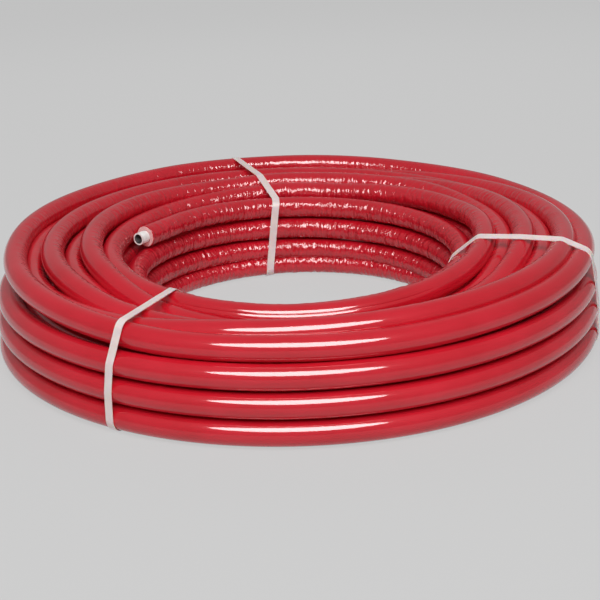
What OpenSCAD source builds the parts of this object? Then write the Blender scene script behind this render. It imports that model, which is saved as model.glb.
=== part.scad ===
// Coil of foam-insulated multilayer pipe, lying flat on its side and held by three flat straps.
// Origin: centre of the coil on the floor. +Z up along the coil's axis. Millimetres.

/* [Insulated pipe] */
// Outside diameter of the foam-insulated pipe
tube_d = 28; // [28:0.5:32]
// Outside diameter of the plain pipe inside the foam
pipe_d = 16; // [14:1:20]
// Bore of the plain pipe
pipe_bore_d = 12; // [9:0.5:13]
// Play between the pipe and the foam around it
sleeve_play = 0.2; // [0.2:0.05:0.4]

/* [Winding] */
// Radius of the outermost turns, measured at the centre of the tube
outer_r = 357; // [340:1:450]
// Number of winding layers from the eye to the outside
layers = 7; // [5:2:9]
// Radial step from one layer to the next, nested in the grooves of the last one
layer_step = 25; // [22:0.5:25]
// Number of turns stacked in each layer
rows = 4; // [3:1:6]
// Height of one row, which leaves a thin gap between turns
row_step = 29.5; // [27:0.5:29.5]

/* [Free end] */
// Direction in which the last inner turn leaves its circle, seen from above
free_az = 145; // [138:1:150]
// How far the last inner turn springs into the eye there
free_inset = 14; // [12:1:20]
// How far the same turn presses into the wall on the opposite side
wall_press = 2; // [2:0.5:4]
// Turn angle that the last inner turn covers before it tucks in under the front strap
free_turn = 276; // [272:1:280]
// Straight length of foam before the cut
straight_len = 68; // [55:1:70]
// Length of bare pipe that stands out of the foam
bare_len = 14; // [10:1:30]
// Length of bare pipe held inside the foam
held_len = 50; // [20:1:60]

/* [Straps] */
// Width of each strap
strap_w = 10; // [5:0.5:12]
// Thickness of each strap
strap_t = 0.8; // [0.5:0.1:1.5]
// Play between a strap and the foam under it
strap_play = 0.15; // [0.1:0.05:0.3]
// Direction of the strap on the right
strap_right_az = -19; // [-30:1:20]
// Direction of the strap at the back
strap_back_az = 102; // [80:1:115]
// Direction of the strap at the front
strap_front_az = 234; // [232:1:260]

/* [Hidden] */
$fn = 96;
tube_r = tube_d / 2;
lift = strap_t + strap_play;
base_z = lift + tube_r;
inner_r = outer_r - (layers - 1) * layer_step;
foam_col = [0.74, 0.09, 0.13];
pipe_col = [0.93, 0.93, 0.90];
strap_col = [0.93, 0.88, 0.87];
free_r = inner_r + (wall_press - free_inset) / 2;
free_shift = (wall_press + free_inset) / 2;
free_z = base_z + (rows - 1) * row_step;
join_lap = 3;
join_step = 0.05;
bare_gap = 0.5;
cut_over = 1;
bend_steps = 6;

// Centre radius of a layer, counted from the eye outwards
function layer_r(i) = inner_r + i * layer_step;

// Every second layer sits half a row higher
function layer_z(i, j) = base_z + j * row_step + (i % 2 == 1 ? row_step / 2 : 0);

// Corner turns of the bundle, as [radius, height], in order round its section
core_pts = concat(
    [for (j = [0 : rows - 1]) [layer_r(layers - 1), layer_z(layers - 1, j)]],
    [for (i = [layers - 2 : -1 : 1]) [layer_r(i), layer_z(i, rows - 1)]],
    [[layer_r(1), layer_z(1, rows - 2)]],
    [for (j = [rows - 2 : -1 : 0]) [layer_r(0), layer_z(0, j)]],
    [for (i = [1 : layers - 2]) [layer_r(i), layer_z(i, 0)]]
);

// Centre radius of the sprung last turn in a given direction
function sprung_r(az) =
    let (swing = az - free_az)
    sqrt(pow(free_r, 2) - pow(free_shift * sin(swing), 2)) - free_shift * cos(swing);

// The same where that turn presses most on a strap, at one of the strap's edges
function sprung_under_strap(az) =
    let (half = atan(strap_w / 2 / free_r))
    min(sprung_r(az - half), sprung_r(az + half));

// Outermost turns that a tight strap bears on in a given direction
function strap_pts(az) = [
    [layer_r(layers - 1), layer_z(layers - 1, 0)],
    [layer_r(layers - 1), layer_z(layers - 1, rows - 1)],
    [layer_r(layers - 2), layer_z(layers - 2, rows - 1)],
    [layer_r(1), layer_z(1, rows - 1)],
    [sprung_under_strap(az), free_z],
    [layer_r(0), layer_z(0, 0)]
];

// Outward direction of the run from one bearing turn to the next
function run_normal(pts, k) =
    let (a = pts[k % len(pts)], b = pts[(k + 1) % len(pts)])
    atan2(b[1] - a[1], b[0] - a[0]) - 90;

// Closed outline at distance r outside the bearing turns, bent round each of them in small steps
function taut_outline(pts, r) = [
    for (k = [0 : len(pts) - 1])
        let (
            from = run_normal(pts, k + len(pts) - 1),
            bend = (run_normal(pts, k) - from + 720) % 360
        )
        for (s = [0 : bend_steps])
            let (a = from + bend * s / bend_steps)
            pts[k] + r * [cos(a), sin(a)]
];

// Section of the wound bundle: round turns on the outside, packed solid behind them
module bundle_section() {
    polygon(core_pts);
    for (p = core_pts)
        translate(p)
            circle(r = tube_r);
}

// Placement of the straight free end: its own X axis runs out of the cut
module at_cut() {
    rotate([0, 0, free_az])
        translate([inner_r - free_inset, 0, free_z])
            rotate([0, 0, 90])
                translate([straight_len, 0, 0])
                    rotate([0, 90, 0])
                        children();
}

// The last inner turn: an arc that springs a little into the eye, then a short straight
module free_turn_arc() {
    rotate([0, 0, free_az])
        translate([-free_shift, 0, free_z])
            rotate([0, 0, -free_turn])
                rotate_extrude(angle = free_turn)
                    translate([free_r, 0])
                        circle(r = tube_r);
    at_cut()
        translate([0, 0, -straight_len - join_lap])
            cylinder(r = tube_r + join_step, h = straight_len + join_lap);
}

module insulated_coil() {
    color(foam_col)
        difference() {
            union() {
                rotate_extrude()
                    bundle_section();
                free_turn_arc();
            }
            at_cut()
                translate([0, 0, -held_len - cut_over])
                    cylinder(d = pipe_d + 2 * sleeve_play, h = held_len + 2 * cut_over);
        }
}

// The pipe is drawn thinner by the play where the foam holds it, up to just outside the cut
module pipe_end() {
    color(pipe_col)
        at_cut()
            difference() {
                union() {
                    translate([0, 0, -held_len])
                        cylinder(d = pipe_d - 2 * sleeve_play, h = held_len + bare_len);
                    translate([0, 0, bare_gap])
                        cylinder(d = pipe_d, h = bare_len - bare_gap);
                }
                translate([0, 0, -held_len - cut_over])
                    cylinder(d = pipe_bore_d, h = held_len + bare_len + 2 * cut_over);
            }
}

// One flat strap round the section of the coil, through the eye
module strap(az) {
    color(strap_col)
        rotate([0, 0, az])
            rotate([90, 0, 0])
                translate([0, 0, -strap_w / 2])
                    linear_extrude(strap_w)
                        difference() {
                            polygon(taut_outline(strap_pts(az), tube_r + lift));
                            polygon(taut_outline(strap_pts(az), tube_r + strap_play));
                        }
}

module strap_right() {
    strap(strap_right_az);
}

module strap_back() {
    strap(strap_back_az);
}

module strap_front() {
    strap(strap_front_az);
}

insulated_coil();
pipe_end();
strap_right();
strap_back();
strap_front();
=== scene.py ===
# %% [markdown]
# # A strapped coil of insulated pipe
# The real thing is some fifty metres of white plastic pipe in a red foam sleeve. A machine wound it
# in seven layers round a drum, four turns high, and three flat bands hold it. This lesson winds the
# same tube in code, wrinkles its film where the bend squeezes it, and puts the bands round it.
# It starts from a frame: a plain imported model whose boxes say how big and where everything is.

import math

import bmesh
import bpy
import numpy as np
from mathutils import Matrix, Vector, geometry, noise


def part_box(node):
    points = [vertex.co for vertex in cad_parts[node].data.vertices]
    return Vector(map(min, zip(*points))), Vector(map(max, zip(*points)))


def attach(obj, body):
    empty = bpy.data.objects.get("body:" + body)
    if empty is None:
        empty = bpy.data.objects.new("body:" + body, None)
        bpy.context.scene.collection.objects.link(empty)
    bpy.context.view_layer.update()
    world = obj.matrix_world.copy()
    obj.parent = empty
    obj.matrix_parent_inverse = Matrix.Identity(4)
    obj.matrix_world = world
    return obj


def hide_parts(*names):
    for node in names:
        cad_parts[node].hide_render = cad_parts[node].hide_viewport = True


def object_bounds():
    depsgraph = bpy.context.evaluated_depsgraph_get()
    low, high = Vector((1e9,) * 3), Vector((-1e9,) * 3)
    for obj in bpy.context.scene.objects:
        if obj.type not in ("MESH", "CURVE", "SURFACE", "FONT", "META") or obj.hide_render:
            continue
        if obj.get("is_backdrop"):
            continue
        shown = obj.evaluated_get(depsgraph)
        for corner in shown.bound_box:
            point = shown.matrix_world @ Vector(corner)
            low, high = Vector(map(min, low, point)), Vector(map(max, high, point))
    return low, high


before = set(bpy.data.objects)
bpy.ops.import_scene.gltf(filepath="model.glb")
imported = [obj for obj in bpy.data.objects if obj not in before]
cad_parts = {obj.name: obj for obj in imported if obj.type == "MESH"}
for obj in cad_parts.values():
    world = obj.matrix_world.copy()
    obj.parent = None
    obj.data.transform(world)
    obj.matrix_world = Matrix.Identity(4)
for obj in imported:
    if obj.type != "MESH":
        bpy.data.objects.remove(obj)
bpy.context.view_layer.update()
print("frame nodes:", sorted(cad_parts))

# %% [markdown]
# ## The driving sizes
# Everything follows from the tube's thickness and from how the layers nest. The outermost radius
# comes from the frame's box, so the winding can't drift away from the model it stands for.

# %% Sizes in metres, directions in degrees
TUBE_R = 0.014
BORE_R = 0.006
LAYERS = 7
ROWS = 4
LAYER_STEP = 0.025
ROW_STEP = 0.0295
coil_low, coil_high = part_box("insulated_coil")
OUTER_R = coil_high.x - TUBE_R
INNER_R = OUTER_R - (LAYERS - 1) * LAYER_STEP
FLOOR_Z = coil_low.z + TUBE_R
print(f"layers from radius {INNER_R:.3f} m to {OUTER_R:.3f} m, lowest turn at {FLOOR_Z:.4f} m")

# %% [markdown]
# ## How the top of the winding rises and falls
# A wound coil isn't a stack of level rings. Each layer climbs or sinks as it goes round, so its top
# turn is high on one side and low on the other, and neighbouring layers do the opposite. A few
# waves say this for each layer: the first rises and falls once a turn, the next twice, and so on.
# Humps and hollows are added where one turn rides over another or sinks between its neighbours.

# %% Heights of the top turns: middle, then (swing, direction of its crest) for each wave
WAVES = {
    1: (0.1055, (0.0115, 60), (0.005, 15)),
    2: (0.1065, (0.0155, 120), (0.007, 5)),
    3: (0.104, (0.0105, 30), (0.006, 5)),
    4: (0.1095, (0.0095, 135), (0.002, 5)),
    5: (0.1085, (0.008, 340), (0.0015, 180)),
    6: (0.1125, (0.0105, 125), (0.001, 175), (0.0025, 85)),
}

# %% Humps and hollows of a layer's top turn: direction, reach to each side, rise
HUMPS = {
    1: ((50, 50, -0.0065),),
    2: ((275, 70, -0.010), (70, 50, 0.0055)),
    3: ((275, 70, -0.013),),
    4: ((275, 70, -0.008),),
    5: ((160, 40, 0.003), (215, 45, -0.008)),
    6: ((10, 55, 0.003), (220, 50, -0.005), (140, 45, 0.003)),
}
HUMP_FADE = 30


def ease(t):
    """Smooth step from 0 to 1."""
    t = min(max(t, 0.0), 1.0)
    return t * t * (3 - 2 * t)


def top_height(layer, az):
    """Height of a layer's top turn in a direction, in metres."""
    middle, *waves = WAVES[layer]
    for times, (swing, crest) in enumerate(waves, start=1):
        middle += swing * math.cos(math.radians(times * (az - crest)))
    for centre, reach, rise in HUMPS.get(layer, ()):
        off = abs((az - centre + 180) % 360 - 180)
        middle += rise * ease((reach - off) / HUMP_FADE)
    return middle


print("top turn of layer 3:", [round(top_height(3, a) * 1000) for a in range(0, 360, 45)], "mm")

# %% [markdown]
# ## A seat for every turn
# The section of the bundle says where each turn sits. A layer lies one step outside the last, and
# every second one is half a row higher, in its grooves. Real turns give a little: the top ones lean
# inwards, the outer wall spreads at its foot, and both slip a few millimetres to one side.

# %% Seats
TOP_LEAN = {1: 0.0, 2: 0.0015, 3: 0.003, 4: 0.0045, 5: 0.0055, 6: 0.010}
RIM_SHIFT = 0.0012
RIM_SHIFT_AZ = -15
FOOT_SPREAD = 0.0025
FOOT_SHIFT = 0.004
FOOT_SHIFT_AZ = 240
NEST_LIFT = 0.006


def seat(layer, row, az):
    """Radius and height of a turn's centre: a row of a layer, in a direction."""
    radius = INNER_R + layer * LAYER_STEP - TOP_LEAN[layer] * (row / (ROWS - 1)) ** 2
    if layer % 2 == 0:
        level = FLOOR_Z + row * ROW_STEP
        if layer == LAYERS - 1 and row < ROWS - 1:
            radius += FOOT_SPREAD + FOOT_SHIFT * math.cos(math.radians(az - FOOT_SHIFT_AZ))
        elif layer == LAYERS - 1:
            radius += RIM_SHIFT * (1 + math.cos(math.radians(az - RIM_SHIFT_AZ)))
        return radius, level if row < ROWS - 1 else top_height(layer, az)
    low = FLOOR_Z + NEST_LIFT * (1 + math.cos(math.radians(az)))
    return radius, low + (top_height(layer, az) - low) * row / (ROWS - 1)


for az in (0, 90, 180, 270):
    radius, height = seat(LAYERS - 1, ROWS - 1, az)
    print(f"outer top turn at {az} degrees: radius {radius:.4f} m, height {height:.4f} m")

# %% [markdown]
# ## The route of the tube
# Three kinds of line make up the winding. The innermost layer is a plain helix: it starts at the
# straight free end, sinks by one row a turn, and slips out under layer 1 at the floor. The outermost
# layer lies level, steps down one row at a time at the back, and tucks its end in at the floor.
# Everything between shows only its top turn, so each of its turns is a closed loop in its own seat.

# %% Walk the route
FREE_TANGENT_AZ = 145
FREE_STRAIGHT = 0.068
FREE_INSET = 0.014
FREE_DROP = 0.0015
SETTLE_SPAN = 60
HELIX_PITCH = 0.030
BACK_INSET = 0.012
BACK_AZ = 90
EXIT_AZ = 40
EXIT_SPAN = 70
RISE_AZ = 130
STEP_AZ = 130
STEP_SPAN = 65
TAIL_AZ = 110
TUCK_SPAN = 50
TUCK_IN = 0.002
FINE = 0.7
MEDIUM = 2.0
COARSE = 4.0
free_z = sum(c.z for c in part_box("pipe_end")) / 2


def at(az, radius, height):
    """Point in a direction, at a radius and height."""
    a = math.radians(az)
    return Vector((radius * math.cos(a), radius * math.sin(a), height))


def innermost_route():
    """Free end, three and a third sinking turns, and a turn on the floor under layer 1."""
    route = []
    free_r = INNER_R - FREE_INSET
    turned = -math.degrees(math.atan2(FREE_STRAIGHT, free_r))
    exit_at = (ROWS - 1) * 360 + FREE_TANGENT_AZ - EXIT_AZ
    end = exit_at + EXIT_AZ + 360 - RISE_AZ + STEP_SPAN
    while turned <= end:
        az = FREE_TANGENT_AZ - turned
        if turned < 180:
            inset = FREE_INSET * 0.5 * (1 + math.cos(math.radians(max(turned, 0))))
        else:
            back = 0.5 + 0.5 * math.cos(math.radians(az - BACK_AZ))
            inset = BACK_INSET * back * back * ease((turned - 180) / SETTLE_SPAN)
        radius = (INNER_R - inset) / (math.cos(math.radians(turned)) if turned < 0 else 1)
        sunk = FREE_DROP * ease(turned / SETTLE_SPAN) + HELIX_PITCH * max(turned, 0) / 360
        height = max(free_z - sunk, FLOOR_Z)
        out = ease((turned - exit_at) / EXIT_SPAN)
        rise = ease((turned - end + STEP_SPAN) / STEP_SPAN)
        low, high = seat(1, 0, az), seat(1, 1, az)
        radius += (low[0] - radius) * out
        height += (low[1] + (high[1] - low[1]) * rise - height) * out
        route.append((az, radius, height))
        turned += FINE if turned < exit_at + EXIT_SPAN else COARSE
    return route


def loop_route(layer, row):
    """One closed turn in its seat."""
    step = FINE if row == ROWS - 1 else COARSE
    count = round(360 / step)
    return [(-360 * k / count, *seat(layer, row, -360 * k / count)) for k in range(count)]


def outermost_route():
    """The wall under the outer top turn: out from inside, two steps down, and in again."""
    layer = LAYERS - 1
    route = []
    turned = 0.0
    end = (ROWS - 1) * 360 + STEP_AZ - TAIL_AZ
    while turned <= end:
        az = STEP_AZ - turned
        row = max(ROWS - 2 - int(turned // 360), 0)
        f = ease((turned - 360 * (ROWS - 2 - row)) / STEP_SPAN)
        radius, height = seat(layer, row, az)
        if row == ROWS - 2:
            r0, z0 = seat(layer - 1, ROWS - 2, az)
        else:
            r0, z0 = seat(layer, row + 1, az)
        radius = r0 + (radius - r0) * f
        height = z0 + (height - z0) * f
        tuck = ease((turned - end + TUCK_SPAN) / TUCK_SPAN)
        r1, z1 = seat(layer - 1, 0, az)
        radius += (r1 - TUCK_IN - radius) * tuck
        height += (z1 + TUCK_IN - height) * tuck
        route.append((az, radius, height))
        turned += MEDIUM
    return route


# %% All routes, by layer: (closed, points)
WINDING = [[(False, innermost_route())]]
for layer in range(1, LAYERS - 1):
    WINDING.append([(True, loop_route(layer, row)) for row in range(1 if layer == 1 else 0, ROWS)])
WINDING.append([(False, outermost_route()), (True, loop_route(LAYERS - 1, ROWS - 1))])


def run_length(closed, route):
    """Length of a route in metres."""
    line = [at(*p) for p in route]
    ends = line[1:] + line[:1] if closed else line[1:]
    return sum((b - a).length for a, b in zip(line, ends))


print(f"the tube is {sum(run_length(*run) for layer in WINDING for run in layer):.1f} m long")

# %% [markdown]
# ## From a line to a tube
# A curve with a round bevel is the quick way to sweep a section along a route: Blender keeps the
# rings square to the line. The bevelled curve is then made a mesh, because the film's wrinkles have
# to be moved point by point, and its two ends are closed with `holes_fill`.

# %% Sweep a tube
RING = 28


def sweep(name, line, radius, ring, closed=False):
    """A tube mesh along a line of points. Its vertices come ring by ring."""
    curve = bpy.data.curves.new(name, "CURVE")
    curve.dimensions = "3D"
    curve.twist_mode = "Z_UP"
    curve.bevel_depth = radius
    curve.bevel_resolution = (ring - 4) // 2
    spline = curve.splines.new("POLY")
    spline.points.add(len(line) - 1)
    spline.points.foreach_set("co", [c for p in line for c in (*p, 1.0)])
    spline.use_cyclic_u = closed
    bent = bpy.data.objects.new(name + "_line", curve)
    bpy.context.scene.collection.objects.link(bent)
    graph = bpy.context.evaluated_depsgraph_get()
    mesh = bpy.data.meshes.new_from_object(bent.evaluated_get(graph))
    bpy.data.objects.remove(bent)
    bpy.data.curves.remove(curve)
    mesh.name = name
    return mesh


test = sweep("test", [Vector((0, 0, 0)), Vector((0.1, 0, 0)), Vector((0.2, 0, 0))], 0.01, RING)
print("ring of", len(test.vertices) / 3, "points")
bpy.data.meshes.remove(test)

# %% [markdown]
# ## Wrinkles where the bend squeezes the film
# The film round the foam is stretched tight on the outside of the bend, so it is smooth there. On
# the inside it has too much length and gathers in short sharp folds across the tube. The folds are
# real geometry: noise that is fine along the tube and long round it, folded into ridges, and faded
# out away from the inside of the bend.

# %% Fold pattern
FOLD_DEPTH = 0.0012
FOLD_ALONG = 1 / 0.009
FOLD_ROUND = 1 / 0.022
FOLD_MIDDLE = 0.55
RIPPLE = 1.9
PATCH = 1 / 0.09
PATCH_UP = 40
LEAST_SQUEEZE = 0.01


def fold_pattern(centre, place, squeeze):
    """How far the folds move each point, in fold depths. Some patches fold more than others."""
    fold = np.zeros(squeeze.shape)
    for i, here in enumerate(centre):
        spot = Vector((here[0] * PATCH, here[1] * PATCH, here[2] * PATCH_UP))
        patch = min(max(0.75 + 1.1 * noise.noise(spot), 0.1), 1.0)
        for j in np.flatnonzero(squeeze[i] > LEAST_SQUEEZE):
            x, y, z = place[i, j]
            where = Vector((x * FOLD_ALONG, y * FOLD_ALONG, z * FOLD_ROUND))
            ridge = 1 - 2 * abs(noise.noise(where))
            ripple = noise.noise(where * RIPPLE)
            fold[i, j] = patch * (ridge * ridge * 0.8 + 0.3 * ripple - FOLD_MIDDLE)
    return fold


# %% Wrinkle a tube
SQUEEZE_FROM = -0.15
SQUEEZE_SPAN = 0.8
EASE_OUTWARDS = 1.3
SEAM_ANGLE = math.radians(150)
SEAM_REACH = 6.0
SEAM_FADE = 12


def wrinkle(mesh, line, seam_from=0.0, seam_to=0.0):
    """Pulls folds into a swept mesh and stores where each point is on the tube.

    Between the two directions the film also has a long seam on its outer side.
    """
    ring = len(mesh.vertices) // len(line)
    co = np.empty(len(mesh.vertices) * 3)
    mesh.vertices.foreach_get("co", co)
    co = co.reshape(len(line), ring, 3)
    centre = np.array([tuple(p) for p in line])
    unit = co - centre[:, None]
    unit /= np.linalg.norm(unit, axis=2)[..., None]
    inward = -centre * (1, 1, 0)
    inward /= np.linalg.norm(inward, axis=1)[:, None]
    facing = np.einsum("nri,ni->nr", unit, inward)
    squeeze = np.clip((facing - SQUEEZE_FROM) / SQUEEZE_SPAN, 0, 1)
    squeeze = squeeze * squeeze * (3 - 2 * squeeze)
    bend = np.minimum(INNER_R / np.linalg.norm(centre[:, :2], axis=1), 1) ** EASE_OUTWARDS
    squeeze = squeeze * bend[:, None]
    angle = np.arctan2(unit[..., 2], facing)
    round_way = angle * TUBE_R
    off_seam = (angle - SEAM_ANGLE + np.pi) % (2 * np.pi) - np.pi
    az = np.degrees(np.arctan2(centre[:, 1], centre[:, 0])) % 360
    fade = np.clip(np.minimum(az - seam_from, seam_to - az) / SEAM_FADE, 0, 1)
    seam = np.clip(off_seam * TUBE_R * 1000, -SEAM_REACH, SEAM_REACH)
    seam_depth = fade[:, None] * (1 - squeeze)
    place = np.empty(co.shape)
    place[..., :2] = centre[:, None, :2]
    place[..., 2] = round_way + 3 * centre[:, None, 2]
    fold = fold_pattern(centre, place, squeeze)
    co += unit * (fold * squeeze * FOLD_DEPTH)[..., None]
    mesh.vertices.foreach_set("co", co.ravel())
    for key, values in (("squeeze", squeeze), ("seam", seam), ("seam_depth", seam_depth)):
        stored = mesh.attributes.new(key, "FLOAT", "POINT")
        stored.data.foreach_set("value", values.ravel())
    stored = mesh.attributes.new("place", "FLOAT_VECTOR", "POINT")
    stored.data.foreach_set("vector", place.ravel())


# %% Join swept tubes


def close_and_smooth(name, parts):
    """Joins swept tubes to one mesh, caps their open ends and shades them smooth."""
    bm = bmesh.new()
    for part in parts:
        bm.from_mesh(part)
        bpy.data.meshes.remove(part)
    rim = [e for e in bm.edges if e.is_boundary]
    caps = bmesh.ops.holes_fill(bm, edges=rim, sides=0)["faces"]
    bmesh.ops.recalc_face_normals(bm, faces=bm.faces)
    for face in bm.faces:
        face.smooth = True
    for face in caps:
        face.smooth = False
    mesh = bpy.data.meshes.new(name)
    bm.to_mesh(mesh)
    bm.free()
    return mesh


# %% [markdown]
# ## The film
# Red polyethylene film over foam: a soft satin body colour with a thin glossy skin. The colour
# wanders a little, and a fine bump across the tube carries the small creases that are too fine for
# the mesh. The film is a strip welded along its edges. Where that seam faces outwards it lies as a
# flat stripe with a crease in the middle, which splits the highlight of that turn in two.

# %% Helpers for materials


def node(tree, kind, **values):
    """Adds a node and sets its properties and inputs by name."""
    made = tree.nodes.new(kind)
    for key, value in values.items():
        if key in made.inputs:
            made.inputs[key].default_value = value
        else:
            setattr(made, key, value)
    return made


def new_material(name):
    """An empty node material with its Principled shader."""
    material = bpy.data.materials.new(name)
    material.use_nodes = True
    return material, material.node_tree, material.node_tree.nodes["Principled BSDF"]


def clouded(tree, shader, scale, detail, stops):
    """Lets a shader's colour cloud between two shades. Returns the noise that does it."""
    link = tree.links.new
    place = node(tree, "ShaderNodeTexCoord")
    cloud = node(tree, "ShaderNodeTexNoise", Scale=scale, Detail=detail)
    link(place.outputs["Object"], cloud.inputs["Vector"])
    tint = node(tree, "ShaderNodeValToRGB")
    for stop, (position, colour) in zip(tint.color_ramp.elements, stops):
        stop.position = position
        stop.color = (*colour, 1)
    link(cloud.outputs["Fac"], tint.inputs["Fac"])
    link(tint.outputs["Color"], shader.inputs["Base Color"])
    return cloud


# %% Film material
FILM_SHADES = ((0.3, (0.53, 0.006, 0.017)), (0.7, (0.61, 0.010, 0.026)))
CREASE_SCALE = 160.0
CREASE_ROUND = 0.3
CREASE_STRENGTH = 0.9
CREASE_DEPTH = 0.0048
SEAM_FLAT = 4.5
SEAM_FLAT_SINK = 0.0005
SEAM_CREASE = 0.9
SEAM_CREASE_SINK = 0.0003


def crease_bump(tree):
    """Fine creases across the tube where the film is squeezed. Returns the bent normal."""
    link = tree.links.new
    place = node(tree, "ShaderNodeAttribute", attribute_name="place")
    squeeze = node(tree, "ShaderNodeAttribute", attribute_name="squeeze")
    stretch = node(tree, "ShaderNodeMapping")
    stretch.inputs["Scale"].default_value = (1.0, 1.0, CREASE_ROUND)
    link(place.outputs["Vector"], stretch.inputs["Vector"])
    crease = node(tree, "ShaderNodeTexNoise", Scale=CREASE_SCALE, Detail=2.5, Roughness=0.55)
    link(stretch.outputs["Vector"], crease.inputs["Vector"])
    strength = node(tree, "ShaderNodeMath", operation="MULTIPLY")
    strength.inputs[1].default_value = CREASE_STRENGTH
    link(squeeze.outputs["Fac"], strength.inputs[0])
    bump = node(tree, "ShaderNodeBump", Distance=CREASE_DEPTH)
    link(strength.outputs["Value"], bump.inputs["Strength"])
    link(crease.outputs["Fac"], bump.inputs["Height"])
    return bump.outputs["Normal"]


def seam_bump(tree, normal):
    """A flat stripe with a crease in its middle, along the seam. Returns the bent normal."""
    link = tree.links.new
    seam = node(tree, "ShaderNodeAttribute", attribute_name="seam")
    seam_depth = node(tree, "ShaderNodeAttribute", attribute_name="seam_depth")
    away = node(tree, "ShaderNodeMath", operation="ABSOLUTE")
    link(seam.outputs["Fac"], away.inputs[0])
    for reach, sink in ((SEAM_FLAT, SEAM_FLAT_SINK), (SEAM_CREASE, SEAM_CREASE_SINK)):
        valley = node(tree, "ShaderNodeMapRange", interpolation_type="SMOOTHSTEP")
        valley.inputs["From Max"].default_value = reach
        link(away.outputs["Value"], valley.inputs["Value"])
        pinch = node(tree, "ShaderNodeBump", Distance=sink)
        link(seam_depth.outputs["Fac"], pinch.inputs["Strength"])
        link(valley.outputs["Result"], pinch.inputs["Height"])
        link(normal, pinch.inputs["Normal"])
        normal = pinch.outputs["Normal"]
    return normal


def film_material():
    """Glossy red film, clouded, creased and seamed."""
    material, tree, shader = new_material("red_film")
    clouded(tree, shader, 14.0, 3.0, FILM_SHADES)
    normal = seam_bump(tree, crease_bump(tree))
    tree.links.new(normal, shader.inputs["Normal"])
    tree.links.new(normal, shader.inputs["Coat Normal"])
    shader.inputs["Roughness"].default_value = 0.45
    shader.inputs["Specular IOR Level"].default_value = 0.05
    shader.inputs["Coat Weight"].default_value = 1.0
    shader.inputs["Coat Roughness"].default_value = 0.07
    shader.inputs["Coat IOR"].default_value = 1.6
    return material


RED_FILM = film_material()
print("the film's shader has", len(RED_FILM.node_tree.nodes), "nodes")

# %% [markdown]
# ## Wind the seven layers
# Each layer is one piece, so that no single mesh gets too heavy to handle. The seam faces outwards
# only on the front of the second layer.

# %% Wind
SEAMED_LAYER = 1
SEAM_SPAN = (232, 312)


def show(name, mesh, material):
    """Links a finished mesh as a piece of the coil."""
    mesh.materials.append(material)
    piece = bpy.data.objects.new(name, mesh)
    bpy.context.scene.collection.objects.link(piece)
    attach(piece, "root")
    return piece


for index, runs in enumerate(WINDING):
    parts = []
    for closed, route in runs:
        line = [at(*p) for p in route]
        part = sweep("run", line, TUBE_R, RING, closed)
        wrinkle(part, line, *(SEAM_SPAN if index == SEAMED_LAYER else (0, 0)))
        parts.append(part)
    mesh = close_and_smooth(f"wound_layer_{index + 1}", parts)
    piece = show(mesh.name, mesh, RED_FILM)
    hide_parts("insulated_coil")
    print(piece.name, "has", sum(len(p.vertices) - 2 for p in mesh.polygons), "triangles")

# %% [markdown]
# ## The bare pipe end
# The pipe that stands out of the sleeve is hard white plastic, as the plumber's fitting needs it:
# exactly round, with an open bore. That is just what the imported model has, so its node stays as it
# is and only gets a finish: white that clouds a little, and a faint unevenness in its gloss. The
# dark
# inside the bore is painted shade: the colour turns dark everywhere nearer to the pipe's own line
# than its bore is wide, as hardly any light comes back out of it.

# %% Pipe finish and painted bore shade
CUT_MIDDLE = at(FREE_TANGENT_AZ, INNER_R - FREE_INSET, free_z)
PIPE_WAY = at(FREE_TANGENT_AZ + 90, 1, 0)
BORE_EDGE = 0.0002
# Colour of the painted shade inside the bore.
PAINTED_BORE_SHADE = (0.03, 0.03, 0.03, 1)


def speckled(name, dark, light, scale, roughness, depth):
    """A material whose colour clouds between two shades, with a fine bump."""
    material, tree, shader = new_material(name)
    cloud = clouded(tree, shader, scale, 3.0, ((0.35, dark), (0.65, light)))
    bump = node(tree, "ShaderNodeBump", Strength=1.0, Distance=depth)
    tree.links.new(cloud.outputs["Fac"], bump.inputs["Height"])
    tree.links.new(bump.outputs["Normal"], shader.inputs["Normal"])
    shader.inputs["Roughness"].default_value = roughness
    return material


def paint_bore_shade(material):
    """Paints the bore's shade into a pipe's colour: dark near its own line."""
    tree = material.node_tree
    link = tree.links.new
    shader = tree.nodes["Principled BSDF"]
    outside = shader.inputs["Base Color"].links[0].from_socket
    place = node(tree, "ShaderNodeTexCoord")
    offset = node(tree, "ShaderNodeVectorMath", operation="SUBTRACT")
    offset.inputs[1].default_value = CUT_MIDDLE
    link(place.outputs["Object"], offset.inputs[0])
    across = node(tree, "ShaderNodeVectorMath", operation="CROSS_PRODUCT")
    across.inputs[1].default_value = PIPE_WAY
    link(offset.outputs["Vector"], across.inputs[0])
    reach = node(tree, "ShaderNodeVectorMath", operation="LENGTH")
    link(across.outputs["Vector"], reach.inputs[0])
    edge = node(tree, "ShaderNodeMapRange")
    edge.inputs["From Min"].default_value = BORE_R
    edge.inputs["From Max"].default_value = BORE_R + BORE_EDGE
    link(reach.outputs["Value"], edge.inputs["Value"])
    # Mixes the painted bore shade into the pipe's colour.
    blend = node(tree, "ShaderNodeMixRGB", Color1=PAINTED_BORE_SHADE)
    link(edge.outputs["Result"], blend.inputs["Fac"])
    link(outside, blend.inputs["Color2"])
    link(blend.outputs["Color"], shader.inputs["Base Color"])


WHITE_PIPE = speckled("white_pipe", (0.90, 0.90, 0.88), (0.95, 0.95, 0.93), 90, 0.35, 0.00005)
paint_bore_shade(WHITE_PIPE)
pipe_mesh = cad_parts["pipe_end"].data
pipe_mesh.materials.clear()
pipe_mesh.materials.append(WHITE_PIPE)
print("pipe_end wears", pipe_mesh.materials[0].name)

# %% [markdown]
# ## The cut foam
# The knife leaves the foam bare at the cut. A ring of pale foam lies on the end of the sleeve, just
# inside the film and just clear of the pipe. It is a circle extruded inwards and given a thickness.

# %% Foam cut
FOAM_OUT = 0.0132
FOAM_IN = 0.0083
FOAM_T = 0.0006
FOAM_SIDES = 64
FOAM = speckled("cut_foam", (0.74, 0.34, 0.34), (0.90, 0.58, 0.56), 900, 0.8, 0.0004)


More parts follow.
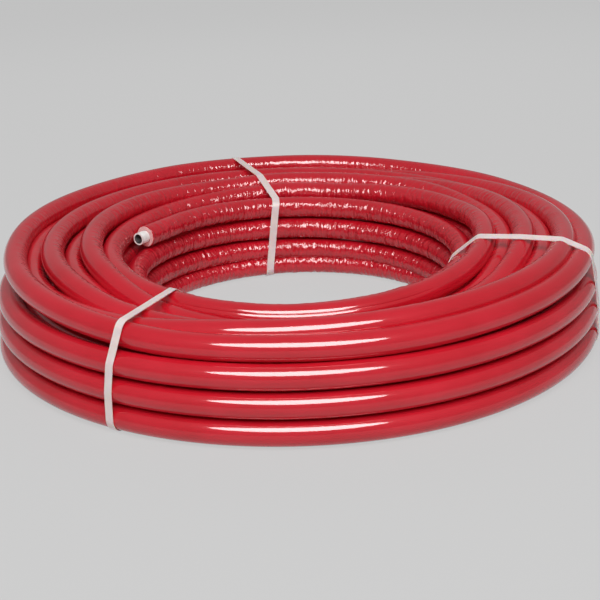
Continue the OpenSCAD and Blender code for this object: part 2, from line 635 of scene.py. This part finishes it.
def make_foam_cut():
    """A thin ring that lies on the cut end of the sleeve."""
    bm = bmesh.new()
    bmesh.ops.create_circle(bm, segments=FOAM_SIDES, radius=FOAM_OUT)
    ring = bmesh.ops.extrude_edge_only(bm, edges=bm.edges[:])["geom"]
    inner = [g for g in ring if isinstance(g, bmesh.types.BMVert)]
    bmesh.ops.scale(bm, vec=Vector((1, 1, 1)) * FOAM_IN / FOAM_OUT, verts=inner)
    bmesh.ops.recalc_face_normals(bm, faces=bm.faces)
    bmesh.ops.solidify(bm, geom=bm.faces[:], thickness=FOAM_T)
    bmesh.ops.recalc_face_normals(bm, faces=bm.faces)
    middle = sum(v.co.z for v in bm.verts) / len(bm.verts)
    turn = PIPE_WAY.to_track_quat("Z", "Y").to_matrix().to_4x4()
    cut = Matrix.Translation(CUT_MIDDLE + PIPE_WAY * FREE_STRAIGHT)
    place = cut @ turn @ Matrix.Translation((0, 0, -middle))
    bmesh.ops.transform(bm, matrix=place, verts=bm.verts)
    mesh = bpy.data.meshes.new("foam_cut")
    bm.to_mesh(mesh)
    bm.free()
    piece = show("foam_cut", mesh, FOAM)
    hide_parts("insulated_coil")
    return piece


print("foam ring has", len(make_foam_cut().data.polygons), "faces")

# %% [markdown]
# ## The straps
# Each strap is a flat plastic band pulled tight round the bundle, so its shape is the tightest loop
# round all the turns it crosses. That is a convex hull: the turns are cut at the strap's direction,
# each cut gives a small circle of points just outside the tube, and the hull of them all is the
# band's line. The bands on a real coil also wander sideways, so each has four directions: where it
# stands in the eye, crosses the inner brim, crosses the outer brim, and stands on the outside.

# %% Straps: direction at the foot in the eye, the inner brim, the outer brim and the outer foot
STRAPS = {
    "strap_right": ((-21.5, -16, -21, -19), 15),
    "strap_back": ((102.5, 98.5, 104.5, 104), 0),
    "strap_front": ((228.5, 229, 238.6, 237.5), 0),
}
STRAP_W = 0.010
STRAP_T = 0.0008
STRAP_GAP = 0.0001
CUT_POINTS = 48
RISE_FROM = 0.055
RISE_SPAN = 0.06
LEAN_SPAN = 0.1


def crossings(az):
    """Radius and height of every turn where a direction cuts it."""
    found = []
    for runs in WINDING:
        for closed, route in runs:
            ends = route[1:] + [(route[0][0] - 360, *route[0][1:])] if closed else route[1:]
            for a, b in zip(route, ends):
                aim = az + 360 * math.floor((a[0] - az) / 360)
                if b[0] < aim <= a[0]:
                    t = (a[0] - aim) / (a[0] - b[0])
                    found.append((a[1] + (b[1] - a[1]) * t, a[2] + (b[2] - a[2]) * t))
    return found


def strap_outline(corners):
    """Taut line round all turns under a strap: direction, radius and height."""
    foot_in, brim_in, brim_out, foot_out = corners
    out = TUBE_R + STRAP_GAP
    rim = []
    for az in sorted({brim_in, (brim_in + brim_out) / 2, brim_out}):
        for radius, height in crossings(az):
            for k in range(CUT_POINTS):
                a = math.tau * k / CUT_POINTS
                rim.append(Vector((radius + out * math.cos(a), height + out * math.sin(a))))
    taut = [rim[i] for i in geometry.convex_hull_2d(rim)]
    outline = []
    for radius, height in taut:
        across = min(max((radius - INNER_R) / (OUTER_R - INNER_R), 0), 1)
        up = ease((height - RISE_FROM) / RISE_SPAN)
        high = brim_out - (brim_out - brim_in) * (1 - across) ** 2
        low = foot_in + (foot_out - foot_in) * across
        outline.append((low + (high - low) * up, radius, height))
    return outline


# %% Make the straps
# Pale plastic shades tinted pink: the red under the band, shining through it, is painted into them.
STRAP_WITH_PAINTED_RED = ((0.0, (0.84, 0.64, 0.63)), (1.0, (0.94, 0.79, 0.77)))


def strap_material():
    """Pale plastic with a little subsurface. The red that shines through it from under is painted
    into its colour.
    """
    material, tree, shader = new_material("strap_band")
    clouded(tree, shader, 60.0, 2.0, STRAP_WITH_PAINTED_RED)
    shader.inputs["Roughness"].default_value = 0.35
    shader.inputs["Subsurface Weight"].default_value = 0.3
    shader.inputs["Subsurface Scale"].default_value = 0.004
    return material


STRAP_BAND = strap_material()


def make_strap(name, corners, lean):
    """A flat band along the taut outline, which leans to one side where it lies on top."""
    outline = strap_outline(corners)
    middle = math.radians(sum(corners) / 4)
    side = Vector((-math.sin(middle), math.cos(middle), 0))
    bm = bmesh.new()
    rim = [bm.verts.new(at(*p) - side * STRAP_W / 2) for p in outline]
    edges = [bm.edges.new((a, b)) for a, b in zip(rim, rim[1:] + rim[:1])]
    wide = bmesh.ops.extrude_edge_only(bm, edges=edges)["geom"]
    far = [g for g in wide if isinstance(g, bmesh.types.BMVert)]
    bmesh.ops.translate(bm, vec=side * STRAP_W, verts=far)
    tilt = math.sin(math.radians(lean)) * STRAP_W / 2
    for verts, way in ((rim, -1), (far, 1)):
        for vert in verts:
            vert.co.z += way * tilt * ease(vert.co.z / LEAN_SPAN)
    bmesh.ops.recalc_face_normals(bm, faces=bm.faces)
    bmesh.ops.solidify(bm, geom=bm.faces[:], thickness=-STRAP_T)
    bmesh.ops.recalc_face_normals(bm, faces=bm.faces)
    mesh = bpy.data.meshes.new(name + "_band")
    bm.to_mesh(mesh)
    bm.free()
    piece = show(name + "_band", mesh, STRAP_BAND)
    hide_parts(name)
    print(name, "bends at", len(outline), "points")


for name, (corners, lean) in STRAPS.items():
    make_strap(name, corners, lean)

# %% [markdown]
# ## Camera
# The coil is seen from the front, from a little above, so that its outer wall, its top and the far
# side of the eye all show. A long lens from a metre and a half away keeps the far turns nearly as
# large as the near ones, and the camera is rolled two degrees, as the coil lies slightly askew.

# %% Camera
CAMERA_AT = (-0.0058, -1.4997, 0.5601)
PITCH = 0.341
ROLL = -0.036
LENS = 74.75
camera_data = bpy.data.cameras.new("camera")
camera_data.lens = LENS
camera_data.sensor_width = 36
camera_data.shift_x = 0.0082
camera_data.clip_end = 50
camera = bpy.data.objects.new("camera", camera_data)
bpy.context.scene.collection.objects.link(camera)
camera.matrix_world = (
    Matrix.Translation(CAMERA_AT)
    @ Matrix.Rotation(math.pi / 2 - PITCH, 4, "X")
    @ Matrix.Rotation(ROLL, 4, "Z")
)
bpy.context.scene.camera = camera
print(f"the camera looks down by {math.degrees(PITCH):.1f} degrees")

# %% [markdown]
# ## Floor
# A plain pale studio sheet. Its colour must not depend on the lamps, so most of what the camera and
# the gloss see of it is its own flat grey, and the rest is really lit, which keeps the soft shadow
# that tells the eye the coil lies on it.

# %% Floor
GREY = 0.61
FLAT_SHARE = 0.85
FLOOR_HALF = 8
floor_mesh = bpy.data.meshes.new("floor")
bm = bmesh.new()
bmesh.ops.create_grid(bm, x_segments=1, y_segments=1, size=FLOOR_HALF)
bm.to_mesh(floor_mesh)
bm.free()
floor = bpy.data.objects.new("floor", floor_mesh)
bpy.context.scene.collection.objects.link(floor)
floor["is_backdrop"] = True
material, tree, shader = new_material("floor_grey")
shader.inputs["Base Color"].default_value = (GREY, GREY, GREY, 1)
shader.inputs["Roughness"].default_value = 0.9
path = node(tree, "ShaderNodeLightPath")
glow = node(tree, "ShaderNodeEmission", Color=(GREY, GREY, GREY, 1), Strength=1.0)
mix = node(tree, "ShaderNodeMixShader")
seen = node(tree, "ShaderNodeMath", operation="MAXIMUM")
share = node(tree, "ShaderNodeMath", operation="MULTIPLY")
share.inputs[1].default_value = FLAT_SHARE
link = tree.links.new
link(path.outputs["Is Camera Ray"], seen.inputs[0])
link(path.outputs["Is Glossy Ray"], seen.inputs[1])
link(seen.outputs["Value"], share.inputs[0])
link(share.outputs["Value"], mix.inputs["Fac"])
link(shader.outputs["BSDF"], mix.inputs[1])
link(glow.outputs["Emission"], mix.inputs[2])
link(mix.outputs["Shader"], tree.nodes["Material Output"].inputs["Surface"])
floor_mesh.materials.append(material)

# %% [markdown]
# ## Light
# Glossy film shows the shape of its lamp. The long tapered streaks on the front of each turn are
# the mirror image of one wide oval soft box, above and behind the camera. It is built as two lamps:
# one that lights the colour and one that only the gloss sees, so that each can be set alone. They
# stand a little apart, because a ray that is looking for a lamp stops at the first it meets. A weak
# lamp behind keeps the back of the coil readable.

# %% World
GLOSSY_CUT = 0.5
DIFFUSE_CUT = 0.8
world = bpy.data.worlds.new("world")
bpy.context.scene.world = world
world.use_nodes = True
tree = world.node_tree
back = tree.nodes["Background"]
back.inputs["Color"].default_value = (GREY, GREY, GREY, 1)
path = node(tree, "ShaderNodeLightPath")
for_glossy = node(tree, "ShaderNodeMath", operation="MULTIPLY_ADD")
for_glossy.inputs[1].default_value = -GLOSSY_CUT
for_glossy.inputs[2].default_value = 1.0
strength = node(tree, "ShaderNodeMath", operation="MULTIPLY_ADD")
strength.inputs[1].default_value = -DIFFUSE_CUT
link = tree.links.new
link(path.outputs["Is Glossy Ray"], for_glossy.inputs[0])
link(path.outputs["Is Diffuse Ray"], strength.inputs[0])
link(for_glossy.outputs["Value"], strength.inputs[2])
link(strength.outputs["Value"], back.inputs["Strength"])

# %% Lamps
KEY_AT = (0, -1.72, 2.07)
PANEL_AT = (-0.06, -1.87, 1.87)
FILL_AT = (0, 2.1, 1.8)
COIL_MIDDLE = (0, 0, 0.06)


def soft_box(name, at_point, aim, width, height, power, diffuse=True, glossy=True):
    """An oval area lamp that faces a point."""
    data = bpy.data.lights.new(name, "AREA")
    data.shape = "ELLIPSE"
    data.size = width
    data.size_y = height
    data.energy = power
    lamp = bpy.data.objects.new(name, data)
    bpy.context.scene.collection.objects.link(lamp)
    facing = (Vector(aim) - Vector(at_point)).to_track_quat("-Z", "Y")
    lamp.matrix_world = Matrix.Translation(at_point) @ facing.to_matrix().to_4x4()
    lamp.visible_diffuse = diffuse
    lamp.visible_glossy = glossy
    print(f"{name}: {power} W, {(Vector(aim) - Vector(at_point)).length:.2f} m from the coil")


soft_box("key", KEY_AT, COIL_MIDDLE, 2.9, 2.0, 66, glossy=False)
soft_box("fill", FILL_AT, COIL_MIDDLE, 2.9, 2.0, 16, glossy=False)
soft_box("gloss_panel", PANEL_AT, COIL_MIDDLE, 2.5, 1.5, 125, diffuse=False)

bpy.context.scene.view_settings.view_transform = "Standard"

# %% Sizes and finish
low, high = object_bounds()
print("finished size:", [round(c, 4) for c in high - low], "m")
